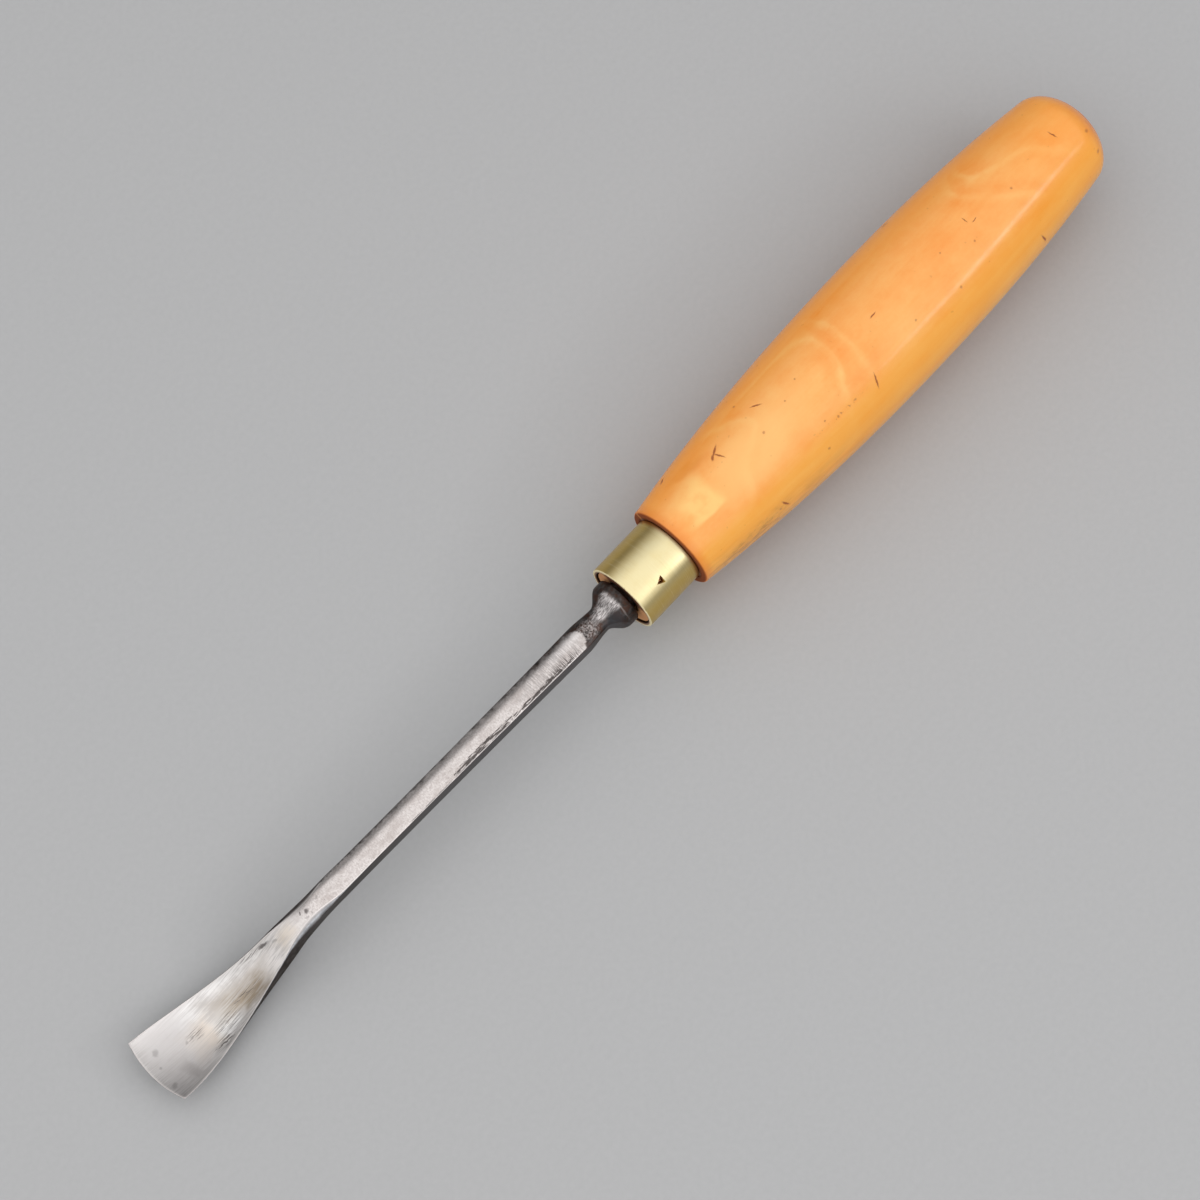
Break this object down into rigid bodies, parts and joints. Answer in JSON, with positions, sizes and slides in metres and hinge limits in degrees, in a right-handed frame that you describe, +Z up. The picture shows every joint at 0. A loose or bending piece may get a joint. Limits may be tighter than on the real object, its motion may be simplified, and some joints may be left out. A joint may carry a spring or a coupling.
{
  "type": "spoon gouge",
  "caption": "Spoon gouge for wood carving: forged bent blade with a shallow spoon-shaped hollow end, brass ferrule and turned boxwood handle with a domed butt.",
  "frame": {"origin": "middle of the tool's box, on the level surface that the tool lies on", "axes": "+X from the butt to the cutting edge, +Z up out of the hollow, +Y to the left of someone looking along +X"},
  "size_m": [0.2558, 0.027, 0.0273],
  "materials": {
    "boxwood": "oiled, smooth from handling",
    "brass": "satin, fine turning marks",
    "steel": "ground bright on top, dark forged sides and neck"
  },
  "bodies": {
    "root": {"handle": "boxwood", "ferrule": "brass", "blade": "steel"}
  },
  "joints": []
}
